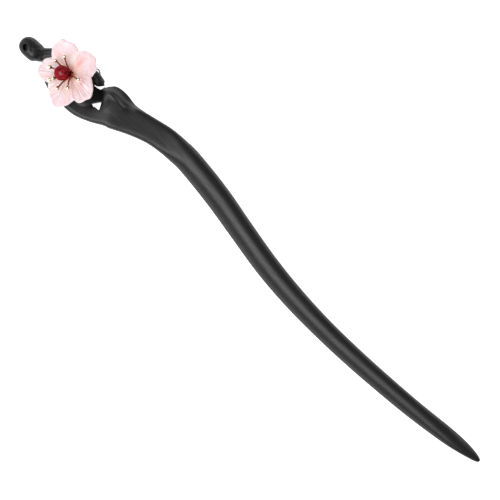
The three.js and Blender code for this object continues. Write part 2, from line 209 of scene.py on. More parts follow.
# The curl's eye with the dish round it, the groove that arches over it and the seam of the inner lobe.
EYE = (-88.2, -2.4)
EYE_HALF_SIZES = (0.95, 0.6)
EYE_FLOOR = 1.2
EYE_FLOOR_ROUND = 0.4
EYE_TURN = math.radians(-48)
DISH_HALF_SIZES = (1.2, 0.9)
DISH_DEPTH = 0.25
DISH_TURN = math.radians(-38)
ARCH_RADIUS = 1.95
ARCH_WIDTH = 0.5
ARCH_DEPTH = 0.16
ARCH_START = (-5, 35)  # bearings between which it deepens, and then runs out again, in degrees
ARCH_END = (140, 185)
SEAM = [(-88.6, 1.2), (-87.9, 0.55), (-87.2, -0.3), (-86.6, -0.8), (-85.8, -0.6), (-84.8, 0.15),
        (-84.1, 0.8)]
SEAM_WIDTH = 0.35
SEAM_DEPTH = 0.12
SEAM_SHIFT = 0.28
SEAM_LIP = 0.05
SEAM_LIP_SHIFT = 0.25

# Tool marks along the neck, the strut and the side shoot.
TOOL_MARKS = [
    [(-84.6, -1.1), (-83.2, -0.1), (-81.6, 1.3)],
    [(-83.9, -2.3), (-82.9, -1.2), (-81.4, 0.1)],
    [(-61.8, 3.0), (-63.4, 2.0), (-65.2, 0.6)],
    [(-62.0, 2.2), (-63.4, 1.1), (-64.6, -0.2)],
    [(-61.4, 3.6), (-63.2, 2.8), (-65.4, 1.6)],
    [(-67.9, 4.2), (-66.4, 4.0), (-65.0, 4.2)],
]
MARK_DEPTH = 0.14
MARK_WIDTH = 0.22

# Fineness of the meshes: the wood's grid round the head and along the plain shank, steps of the
# curves between their given points, and steps along and round the small pieces.
FINE_STEP = 0.2
COARSE_STEP = 0.55
HEAD_END = -42.9
GRID_START = (-91.3, -9.3, -0.3)
GRID_STOP = (91.5, 9.5, 8.4)
LIMB_STEPS = 24
OUTLINE_STEPS = 12
RIDGE_STEPS = 8
MARK_STEPS = 6
PIN_STEPS = 12
PIN_SIDES = 20
BALL_STEPS = 20
BEAD_STEPS = 40
BEAD_SIDES = 64
POST_STEPS = 60
POST_SIDES = 16
BINDING_STEPS = 120
BINDING_SIDES = 14
COLUMNS_AT_ONCE = 8192
FAR = 1e9

AXIS = Vector((
    math.sin(FLOWER_TILT) * math.cos(FLOWER_TILT_TOWARDS),
    math.sin(FLOWER_TILT) * math.sin(FLOWER_TILT_TOWARDS),
    math.cos(FLOWER_TILT),
))


def blossom_matrix():
    """Turns blossom coordinates (axis along +Z, millimetres) into metres in the CAD frame."""
    across = (Vector((1, 0, 0)) - AXIS * AXIS.x).normalized()
    up = AXIS.cross(across)
    turn = Matrix((across, up, AXIS)).transposed().to_4x4()
    return Matrix.Translation(FLOWER_CENTRE * MM) @ turn


# ---------------------------------------------------------------------------
# Mesh helpers
# ---------------------------------------------------------------------------
def smoothstep(low, high, value):
    share = np.clip((value - low) / (high - low), 0.0, 1.0)
    return share * share * (3.0 - 2.0 * share)


def soft_min(a, b, blend):
    share = np.clip(0.5 + 0.5 * (b - a) / blend, 0.0, 1.0)
    return b + (a - b) * share - blend * share * (1.0 - share)


def soft_max(a, b, blend):
    return -soft_min(-a, -b, blend)


def spline(points, per_span):
    """Catmull-Rom curve through the points: even in its parameter, with every point on it."""
    points = np.asarray(points, float)
    before = 2 * points[0] - points[1]
    after = 2 * points[-1] - points[-2]
    full = np.vstack([before, points, after])
    at = np.arange((len(points) - 1) * per_span + 1) / per_span
    span = np.minimum(at.astype(int), len(points) - 2)
    t = (at - span)[:, None]
    p0, p1, p2, p3 = (full[span + shift] for shift in range(4))
    return 0.5 * (2 * p1 + (p2 - p0) * t + (2 * p0 - 5 * p1 + 4 * p2 - p3) * t ** 2
                  + (3 * p1 - p0 - 3 * p2 + p3) * t ** 3)


def new_piece(name, vertices, faces, replaced, slot, matrix=None):
    """A shaded-smooth piece in the CAD frame from vertices in millimetres, moved there by the matrix.

    The vertices' own places, before the matrix, stay on the mesh for its material to read.
    """
    own = np.asarray(vertices, float)
    placed = own * MM
    if matrix is not None:
        turn = np.array(matrix.to_3x3())
        placed = placed @ turn.T + np.array(matrix.translation)
    mesh = bpy.data.meshes.new(name)
    mesh.from_pydata(placed.tolist(), [], [list(face) for face in faces])
    add_attribute(mesh, "own_place", own)
    mesh.polygons.foreach_set("use_smooth", [True] * len(mesh.polygons))
    piece = bpy.data.objects.new(name, mesh)
    bpy.context.scene.collection.objects.link(piece)
    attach(piece, "root")
    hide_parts(replaced)
    return piece


def add_attribute(mesh, name, values):
    """Stores three numbers for each vertex, such as its place before it was moved."""
    layer = mesh.attributes.new(name, "FLOAT_VECTOR", "POINT")
    layer.data.foreach_set("vector", np.asarray(values, dtype=np.float32).ravel())


def bell(distance, width):
    """One at no distance, falling softly to about a third at one width."""
    return np.exp(-(distance / width) ** 2)


def grid_faces(rows, columns):
    """Quads between consecutive rows of a grid whose rows close on themselves."""
    row, column = np.meshgrid(np.arange(rows - 1), np.arange(columns), indexing="ij")
    after = (column + 1) % columns
    quads = np.stack([
        row * columns + column,
        row * columns + after,
        (row + 1) * columns + after,
        (row + 1) * columns + column,
    ], axis=-1)
    return quads.reshape(-1, 4)


def capped(rings, first_end, last_end):
    """Closes a stack of equal rings with a fan to a point at each end."""
    sides = len(rings[0])
    vertices = np.concatenate([*rings, [first_end], [last_end]])
    faces = grid_faces(len(rings), sides).tolist()
    first, last = len(vertices) - 2, len(vertices) - 1
    base = (len(rings) - 1) * sides
    for here in range(sides):
        after = (here + 1) % sides
        faces.append([first, after, here])
        faces.append([last, base + here, base + after])
    return vertices, faces


def lathe(profile, segments):
    """Turns a profile of (radius, height) round +Z; both ends lie on the axis."""
    angles = np.arange(segments) / segments * 2 * np.pi
    rings = [np.stack([r * np.cos(angles), r * np.sin(angles), np.full(segments, z)], axis=-1)
             for r, z in profile[1:-1]]
    return capped(rings, (0, 0, profile[0][1]), (0, 0, profile[-1][1]))


# Any direction that no path starts along: a tube's first normal is taken square to it.
ASIDE = (0.31, 0.87, 0.38)


def tube(path, radii, sides, closed=False):
    """Sweeps a circle of changing radius along a path; open ends close in a point."""
    path = np.asarray(path, float)
    radii = np.broadcast_to(radii, len(path))
    if closed:
        tangents = np.roll(path, -1, axis=0) - np.roll(path, 1, axis=0)
    else:
        tangents = np.gradient(path, axis=0)
    tangents /= np.linalg.norm(tangents, axis=1, keepdims=True)
    normal = np.cross(tangents[0], ASIDE)
    rings = []
    angles = np.arange(sides) / sides * 2 * np.pi
    for point, tangent, radius in zip(path, tangents, radii):
        normal = normal - tangent * normal.dot(tangent)
        normal /= np.linalg.norm(normal)
        other = np.cross(tangent, normal)
        circle = np.cos(angles)[:, None] * normal + np.sin(angles)[:, None] * other
        rings.append(point + radius * circle)
    if closed:
        faces = grid_faces(len(rings) + 1, sides) % (len(rings) * sides)
        return np.concatenate(rings), faces.tolist()
    return capped(rings, path[0], path[-1])


def surface_nets(field, xs, ys, zs):
    """Closed quad mesh of the surface where the field is zero; the field is negative inside."""
    axes = (xs, ys, zs)
    cells = tuple(size - 1 for size in field.shape)
    inside = field < 0
    sums = np.zeros((3, np.prod(cells)))
    counts = np.zeros(np.prod(cells))
    quads = []
    for axis in range(3):
        low = tuple(slice(0, -1) if d == axis else slice(None) for d in range(3))
        high = tuple(slice(1, None) if d == axis else slice(None) for d in range(3))
        crossing = inside[low] != inside[high]
        index = np.nonzero(crossing)
        before, after = field[low][crossing], field[high][crossing]
        share = before / (before - after)
        point = [axes[d][index[d]] for d in range(3)]
        point[axis] = point[axis] + share * (axes[axis][index[axis] + 1] - axes[axis][index[axis]])
        one, two = (axis + 1) % 3, (axis + 2) % 3
        corners = []
        for back_one, back_two in ((1, 1), (0, 1), (0, 0), (1, 0)):
            cell = list(index)
            cell[one] = index[one] - back_one
            cell[two] = index[two] - back_two
            flat = np.ravel_multi_index(cell, cells)
            corners.append(flat)
            counts += np.bincount(flat, minlength=len(counts))
            for d in range(3):
                sums[d] += np.bincount(flat, weights=point[d], minlength=len(counts))
        quad = np.stack(corners, axis=-1)
        leaving = inside[low][crossing]
        quads.append(np.where(leaving[:, None], quad, quad[:, ::-1]))
    used = np.nonzero(counts)[0]
    renumbered = np.full(len(counts), -1)
    renumbered[used] = np.arange(len(used))
    vertices = (sums[:, used] / counts[used]).T
    return vertices, renumbered[np.concatenate(quads)]


# ---------------------------------------------------------------------------
# The wooden stick
# ---------------------------------------------------------------------------
def limb_field(stations, columns, heights):
    """Signed distance, roughly, to one limb: columns are x, y pairs and heights are z values."""
    samples = spline(stations, LIMB_STEPS)
    places = samples[:, :2]
    ahead = np.gradient(places, axis=0)
    spacing = np.linalg.norm(ahead, axis=1)
    ahead = ahead / spacing[:, None]
    nearest = np.empty(len(columns), dtype=int)
    for start in range(0, len(columns), COLUMNS_AT_ONCE):
        block = columns[start:start + COLUMNS_AT_ONCE]
        squared = ((block[:, None, :] - places[None, :, :]) ** 2).sum(axis=-1)
        nearest[start:start + COLUMNS_AT_ONCE] = squared.argmin(axis=1)
    offset = columns - places[nearest]
    along = (offset * ahead[nearest]).sum(axis=-1)
    sideways = ahead[nearest][:, 0] * offset[:, 1] - ahead[nearest][:, 1] * offset[:, 0]
    share = np.clip(along / spacing[nearest], -0.5, 0.5)
    other = np.clip(nearest + np.sign(share).astype(int), 0, len(samples) - 1)
    sizes = samples[nearest, 2:] + (samples[other, 2:] - samples[nearest, 2:]) * np.abs(share)[:, None]
    past_end = np.where((nearest == 0) | (nearest == len(samples) - 1), np.abs(along), 0.0)
    reach = np.hypot(sideways, past_end)
    width, height, lift, power, slope = (sizes[:, i][:, None] for i in range(5))
    lift = np.maximum(lift, 0.0)
    level = heights[None, :] - lift - (1 - CROWN) * height
    level = level + slope * sideways[:, None] * smoothstep(-SLOPE_FADE, SLOPE_FADE, level)
    half_height = np.where(level > 0, CROWN, BELLY) * height
    across = (reach[:, None] / (0.5 * width)) ** power
    section = (across + (np.abs(level) / half_height) ** power) ** (1 / power) - 1
    shape = section * np.minimum(0.5 * width, CROWN * height)
    return soft_max(shape, lift - heights[None, :], BACK_ROUND)


def curl_field(columns, heights):
    """Signed distance, roughly, to the curl's head."""
    (left, middle), (right, _) = CURL_MIDDLE
    x, y = columns[:, 0], columns[:, 1]
    ahead = np.maximum(left - x, 0) / CURL_ENDS[0] + np.maximum(x - right, 0) / CURL_ENDS[1]
    sideways = np.abs(y - middle) / CURL_HALF_WIDTH
    reach = (ahead ** CURL_PLAN_POWER + sideways ** CURL_PLAN_POWER) ** (1 / CURL_PLAN_POWER)
    level = heights[None, :] - (1 - CROWN) * CURL_HEIGHT
    level = level + CURL_SLOPE * (y - middle)[:, None] * smoothstep(-SLOPE_FADE, SLOPE_FADE, level)
    half_height = np.where(level > 0, CROWN, BELLY) * CURL_HEIGHT
    powered = reach[:, None] ** CURL_SECTION_POWER + np.abs(level / half_height) ** CURL_SECTION_POWER
    section = powered ** (1 / CURL_SECTION_POWER) - 1
    return soft_max(section * CURL_HALF_WIDTH, -heights[None, :], BACK_ROUND)


def distance_to_line(x, y, points):
    """Distance from each x, y to a polyline."""
    best = np.full(x.shape, FAR)
    for (ax, ay), (bx, by) in zip(points[:-1], points[1:]):
        dx, dy = bx - ax, by - ay
        share = np.clip(((x - ax) * dx + (y - ay) * dy) / (dx * dx + dy * dy), 0, 1)
        best = np.minimum(best, np.hypot(x - ax - share * dx, y - ay - share * dy))
    return best


def valley(x, y):
    """Depth of the slope and the hollow beyond the hump's ridge, with the ridge's crest left standing."""
    ridge = spline(RIDGE, RIDGE_STEPS)
    beyond = y - np.interp(x, ridge[:, 0], ridge[:, 1])
    start, end = Vector(RIDGE[-1]), Vector(VALLEY_END)
    along = (end - start).normalized()
    left = (x - start.x) * -along.y + (y - start.y) * along.x
    sloped = np.clip(VALLEY_SLOPE * (beyond + VALLEY_START), 0, VALLEY_DEPTH)
    sloped = sloped * smoothstep(*VALLEY_FADE, left) * smoothstep(*VALLEY_FADE_X, x)
    hollow_x, hollow_beyond = HOLLOW
    half_length, half_width = HOLLOW_SIZES
    hollow = np.exp(-((x - hollow_x) / half_length) ** 2 - ((beyond - hollow_beyond) / half_width) ** 2)
    crest = CREST_HEIGHT * bell(beyond, CREST_WIDTH) * smoothstep(*CREST_FADE, left)
    return sloped + HOLLOW_DEPTH * hollow - crest * smoothstep(*CREST_FADE_X, x)


def turned_about_eye(x, y, turn):
    """Distances from the middle of the curl's eye along and across a direction."""
    east, north = x - EYE[0], y - EYE[1]
    along = east * math.cos(turn) + north * math.sin(turn)
    across = -east * math.sin(turn) + north * math.cos(turn)
    return along, across


def eye_dish(x, y):
    """Depth of the shallow dish round the curl's eye."""
    along, across = turned_about_eye(x, y, DISH_TURN)
    half_length, half_width = DISH_HALF_SIZES
    return DISH_DEPTH * np.exp(-np.hypot(along / half_length, across / half_width) ** 2)


def eye_arch(x, y):
    """Depth of the groove that arches over the curl's eye."""
    east, north = x - EYE[0], y - EYE[1]
    bearing = np.degrees(np.arctan2(north, east))
    arch = bell(np.hypot(east, north) - ARCH_RADIUS, ARCH_WIDTH)
    arch = arch * smoothstep(*ARCH_START, bearing) * (1 - smoothstep(*ARCH_END, bearing))
    return ARCH_DEPTH * arch


def relief(x, y):
    """How far the carver has cut below the limbs' upper side at each x, y."""
    depth = valley(x, y) + eye_dish(x, y) + eye_arch(x, y)
    depth = depth + SEAM_DEPTH * bell(distance_to_line(x, y - SEAM_SHIFT, SEAM), SEAM_WIDTH)
    depth = depth - SEAM_LIP * bell(distance_to_line(x, y + SEAM_LIP_SHIFT, SEAM), SEAM_WIDTH)
    for mark in TOOL_MARKS:
        depth = depth + MARK_DEPTH * bell(distance_to_line(x, y, spline(mark, MARK_STEPS)), MARK_WIDTH)
    return depth


def eye_pit(x, y, z):
    """Signed distance, roughly, to the deep oval pit that is the curl's eye: negative inside."""
    along, across = turned_about_eye(x, y, EYE_TURN)
    long_half, short_half = EYE_HALF_SIZES
    walls = (np.hypot(along / long_half, across / short_half) - 1) * short_half
    return soft_max(walls, EYE_FLOOR - z, EYE_FLOOR_ROUND)


def triangle_field(x, y, corners):
    """Signed distance, roughly, to a triangle: negative inside."""
    middle = np.mean(corners, axis=0)
    field = np.full(x.shape, -FAR)
    for (ax, ay), (bx, by) in zip(corners, corners[1:] + corners[:1]):
        normal = Vector((by - ay, ax - bx)).normalized()
        if (middle[0] - ax) * normal.x + (middle[1] - ay) * normal.y > 0:
            normal = -normal
        field = soft_max(field, (x - ax) * normal.x + (y - ay) * normal.y, CORNER_ROUND)
    return field


def cut_flower_seat(field, x, y, z):
    """Clears the room under the blossom and drills the slanted bore for the post and the pins."""
    rel_x, rel_y, rel_z = x - FLOWER_CENTRE.x, y - FLOWER_CENTRE.y, z - FLOWER_CENTRE.z
    rise = rel_x * AXIS.x + rel_y * AXIS.y + rel_z * AXIS.z
    out = np.sqrt(np.maximum(rel_x ** 2 + rel_y ** 2 + rel_z ** 2 - rise ** 2, 0))
    seat = -FLOWER_THICKNESS - FIT_GAP
    opened = np.clip((out - SEAT_FLAT) / (FLOWER_RADIUS + 1 - SEAT_FLAT), 0, 1)
    clearance = seat + (SEAT_RIM_HEIGHT - seat) * opened
    under_flower = np.where(out < FLOWER_RADIUS + 1, rise - clearance, NOT_UNDER)
    field = soft_max(field, under_flower, SEAT_EDGE)
    bore = np.maximum(out - WOOD_BORE, seat - WOOD_BORE_DEPTH - rise)
    return np.maximum(field, -bore)


def stick_mesh():
    """The whole stick in one skin: its limbs blended together, then carved, cut through and drilled."""
    head = np.arange(GRID_START[0], HEAD_END, FINE_STEP)
    xs = np.concatenate([head, np.arange(HEAD_END, GRID_STOP[0], COARSE_STEP)])
    ys = np.arange(GRID_START[1], GRID_STOP[1], FINE_STEP)
    zs = np.arange(GRID_START[2], GRID_STOP[2], FINE_STEP)
    plan_x, plan_y = np.meshgrid(xs, ys, indexing="ij")
    columns = np.stack([plan_x.ravel(), plan_y.ravel()], axis=-1)
    field = limb_field(SHANK, columns, zs)
    for stations in (SHOULDER, STRUT, VINE):
        field = soft_min(field, limb_field(stations, columns, zs), LIMB_BLEND)
    field = soft_min(field, curl_field(columns, zs), LIMB_BLEND)
    x, y = columns[:, 0][:, None], columns[:, 1][:, None]
    z = zs[None, :]
    field = soft_max(field, -z, BACK_EDGE)
    field = field + relief(x, y) * smoothstep(*RELIEF_FADE, z)
    field = soft_max(field, -eye_pit(x, y, z), SEAT_EDGE)
    field = soft_max(field, -triangle_field(x, y, OPENING), CUT_EDGE)
    field = soft_max(field, -triangle_field(x, y, CLEFT), CUT_EDGE)
    field = cut_flower_seat(field, x, y, z)
    field = field.reshape(len(xs), len(ys), len(zs))
    return surface_nets(field, xs, ys, zs)


# ---------------------------------------------------------------------------
# The shell blossom, in its own frame with the axis along +Z
# ---------------------------------------------------------------------------
# Each petal's rim from one notch to the next, as (angle in degrees, radius), with the lift of its
# first and last edge where it lies over (+) or under (-) its neighbour.
PETALS = [
    ([(185, 7.8), (177, 8.7), (170, 9.7), (162, 10.3), (153, 10.45), (146, 10.6), (141, 9.8), (133, 9.4),
      (126, 9.1), (119, 8.4), (110, 7.2)], 0.16, -0.14),
    ([(110, 7.2), (104, 7.8), (96, 8.6), (89, 9.1), (83, 9.6), (76, 9.9), (70, 10.3), (64, 9.8),
      (59, 9.7), (53, 10.0), (49, 9.5), (45, 8.6), (38, 7.8)], 0.18, -0.16),
    ([(38, 7.8), (33, 8.0), (28, 8.5), (23, 9.2), (18, 9.8), (11, 10.2), (4, 10.6), (-1, 10.3),
      (-6, 9.9), (-12, 9.7), (-20, 9.3), (-26, 8.3), (-31, 7.6)], 0.16, 0.3),
    ([(-31, 7.6), (-38, 8.2), (-45, 8.9), (-52, 9.3), (-59, 9.8), (-66, 10.3), (-72, 10.2), (-79, 9.7),
      (-86, 9.4), (-94, 8.7), (-103, 8.0), (-115, 7.4)], -0.3, 0.14),
    ([(-115, 7.4), (-120, 7.9), (-125, 9.0), (-131, 10.0), (-138, 10.4), (-145, 10.6), (-152, 10.3),
      (-159, 9.8), (-166, 9.3), (-175, 7.8)], -0.14, -0.16),
]
SPOKES = 860
CIRCLES = 57
CIRCLE_CROWDING = 0.85  # below 1, the mesh's circles stand closer towards the rim
RIM_BEVEL = 0.8
LAP_GROWTH = 1.6
PETAL_HOLLOW = 0.16
CREASE_DEPTH = 0.10
CREASE_WIDTH = 0.11
WAVE_HEIGHT = 0.17
PETAL_RIPPLES = (0.7, 0.8, 1.25, 1.2, 0.9)  # how strongly each petal is rippled
THROAT_HEIGHT = 0.12
THROAT_WIDTH = 1.2


def petal_layout(angle):
    """For each angle in degrees: its petal, its place from -1 to 1 across it, its rim and its edge lifts."""
    number = np.zeros(len(angle), dtype=int)
    across = np.zeros(len(angle))
    rim = np.zeros(len(angle))
    lifts = np.zeros((len(angle), 2))
    for petal, (outline, first_lift, last_lift) in enumerate(PETALS):
        start, end = outline[0][0], outline[-1][0]
        covered = (start - angle) % 360
        inside = covered < start - end
        curve = spline(outline, OUTLINE_STEPS)
        number[inside] = petal
        across[inside] = 2 * covered[inside] / (start - end) - 1
        rim[inside] = np.interp(-covered[inside], curve[::-1, 0] - start, curve[::-1, 1])
        lifts[inside] = (first_lift, last_lift)
    return number, across, rim, lifts


def flower_bowl(out):
    """Height of the plain bowl that the petals follow, by distance from the axis as a share."""
    return PETAL_CUP * out ** 1.8


def petal_top(side, share, out, number, lifts):
    """Height of the upper face without its ripples: the bowl, lapped edges, hollow, crease and waves."""
    lapped = 0.5 * (1 - side) * lifts[:, 0] + 0.5 * (1 + side) * lifts[:, 1]
    lapped = lapped * smoothstep(0.25, 1.0, np.abs(side)) * out ** 0.8 * LAP_GROWTH
    hollow = PETAL_HOLLOW * (side ** 2 - 0.35) * out ** 1.5
    crease = -CREASE_DEPTH * bell(side, CREASE_WIDTH) * out * smoothstep(0.9, 0.5, share)
    to_rim = np.clip((share - 0.55) / 0.45, 0, 1)
    waves = WAVE_HEIGHT * np.cos(2.7 * np.pi * side + 1.9 * number) * to_rim ** 1.6
    return flower_bowl(out) + lapped + hollow + crease + waves


def petal_ripple(side, share, out, number, turn):
    """Height of the fine ripples that fan out over each petal, in three finenesses."""
    fan = side * (1 + 0.18 * out) + 0.05 * np.sin(5 * turn + 3 * out)
    ripple = (0.050 * np.sin(17 * fan + 1.3 * number) + 0.028 * np.sin(29 * fan - 2.1 * number + 2 * out)
              + 0.008 * np.sin(57 * fan + 0.7 * number))
    strength = np.array(PETAL_RIPPLES)[number]
    return ripple * strength * smoothstep(0.16, 0.42, out) * smoothstep(1.02, 0.86, share)


def petal_faces(top, out, share, to_rim):
    """The upper and the lower face, thinned towards the rim and rounded over at it."""
    thickness = FLOWER_THICKNESS + (FLOWER_RIM_THICKNESS - FLOWER_THICKNESS) * share
    drop = 1 - np.sqrt(np.clip(1 - np.clip(1 - to_rim / RIM_BEVEL, 0, 1) ** 2, 0, 1))
    upper = top - 0.75 * thickness * drop
    floor = flower_bowl(out) - FLOWER_THICKNESS + 0.03
    lower = np.minimum(np.maximum(floor, top - 1.15 * thickness), top - 0.8 * thickness)
    return upper, lower + 0.25 * thickness * drop


def blossom_mesh():
    """The blossom in one skin, and each vertex's place across its petal, place out to the rim and petal."""
    angle = (np.arange(SPOKES) + 0.5) / SPOKES * 360
    number, across, rim, lifts = petal_layout(angle)
    share = (np.linspace(0, 1, CIRCLES) ** CIRCLE_CROWDING)[:, None]
    radius = FLOWER_BORE + (rim - FLOWER_BORE) * share
    out = radius / FLOWER_RADIUS
    turn = np.radians(angle)
    side = across[None, :]
    throat = THROAT_HEIGHT * bell(radius - FLOWER_BORE, THROAT_WIDTH)
    top = petal_top(side, share, out, number, lifts) + petal_ripple(side, share, out, number, turn) + throat
    upper, lower = petal_faces(top, out, share, (1 - share) * (rim - FLOWER_BORE))
    rings = [(radius[ring], upper[ring]) for ring in range(CIRCLES)]
    rings += [(radius[ring], lower[ring]) for ring in range(CIRCLES - 1, -1, -1)]
    vertices = np.concatenate([
        np.stack([r * np.cos(turn), r * np.sin(turn), h], axis=-1) for r, h in rings
    ])
    petal = np.stack([np.broadcast_to(values, radius.shape) for values in (side, share, number)], axis=-1)
    petal = np.concatenate([petal, petal[::-1]]).reshape(-1, 3)
    faces = grid_faces(len(rings) + 1, SPOKES) % (len(rings) * SPOKES)
    return vertices, faces, petal


# ---------------------------------------------------------------------------
# Bead, post, pins and binding
# ---------------------------------------------------------------------------
def bead_mesh():
    roof = BEAD_BORE_DEPTH - BEAD_RADIUS
    mouth = math.asin((BEAD_BORE + BEAD_BEVEL) / BEAD_RADIUS)
    profile = [(0, roof), (BEAD_BORE * 0.9, roof), (BEAD_BORE, roof - BEAD_BEVEL)]
    profile.append((BEAD_BORE, -BEAD_RADIUS * math.cos(mouth) + BEAD_MOUTH_DEPTH))
    for step in range(BEAD_STEPS):
        angle = mouth + (math.pi - mouth) * step / BEAD_STEPS
        profile.append((BEAD_RADIUS * math.sin(angle), -BEAD_RADIUS * math.cos(angle)))
    profile.append((0, BEAD_RADIUS))
    vertices, faces = lathe(profile, BEAD_SIDES)
    return vertices + np.array([0, 0, BEAD_HEIGHT]), faces


def post_mesh():
    top = BEAD_HEIGHT - BEAD_RADIUS + BEAD_BORE_DEPTH - FIT_GAP
    heights = np.linspace(PIN_ROOT, top, POST_STEPS)
    path = heights[:, None] * np.array([0, 0, 1])
    twist = POST_RADIUS * (1 - POST_TWIST_DEPTH * (0.5 + 0.5 * np.sin(heights * POST_TWIST)))
    return tube(path, twist, POST_SIDES)


def pin_mesh(index):
    """A bent ball-head pin in one skin, and each face's material: 0 on the wire and 1 on the ball."""
    azimuth, reach, rise = PINS[index]
    root = PIN_FIRST_ROOT + index * 360 / len(PINS)
    turn = (azimuth - root + 180) % 360 - 180

    def at(radius, height, share):
        angle = math.radians(root + turn * share)
        return (radius * math.cos(angle), radius * math.sin(angle), height)

    knots = [at(PIN_RING, PIN_ROOT, 0), at(PIN_RING, PIN_ROOT / 2, 0), at(PIN_RING, PIN_COLLAR, 0),
             at(*PIN_BEND, 0.5), at(PIN_MIDDLE[0] * reach, PIN_MIDDLE[1] * rise, 1), at(reach, rise, 1)]
    path = spline(knots, PIN_STEPS)
    end = path[-1]
    heading = path[-1] - path[-2]
    heading /= np.linalg.norm(heading)
    join = math.asin(WIRE_RADIUS / BALL_RADIUS)
    wire = path[np.linalg.norm(path - end, axis=1) > BALL_RADIUS * WIRE_STOP]
    angles = join + (math.pi - join) * np.arange(BALL_STEPS + 1) / BALL_STEPS
    angles[-1] = math.pi - BALL_TIP
    ball = end - heading * (BALL_RADIUS * np.cos(angles))[:, None]
    bundled = 1 + (BUNDLE_SWELL - 1) * smoothstep(BUNDLE_TOP, BUNDLE_FULL, wire[:, 2])
    radii = np.concatenate([WIRE_RADIUS * bundled, BALL_RADIUS * np.sin(angles)])
    vertices, faces = tube(np.concatenate([wire, ball]), radii, PIN_SIDES)
    cup = int(np.searchsorted(angles, math.radians(CUP_ANGLE)))
    wire_faces = (len(wire) + cup) * PIN_SIDES
    ball_faces = (len(ball) - 1 - cup) * PIN_SIDES
    end_faces = [0, 1] * PIN_SIDES
    return vertices, faces, [0] * wire_faces + [1] * ball_faces + end_faces


def binding_mesh():
    angles = np.arange(BINDING_STEPS)[:, None] / BINDING_STEPS * 2 * np.pi
    sideways = np.array([0, 1, 0])
    up = np.array([-math.sin(BINDING_LEAN), 0, math.cos(BINDING_LEAN)])
    path = BINDING_HALF_WIDTH * np.cos(angles) * sideways + BINDING_HALF_HEIGHT * np.sin(angles) * up
    return tube(path + np.array(BINDING_CENTRE), BINDING_RADIUS, BINDING_SIDES, closed=True)


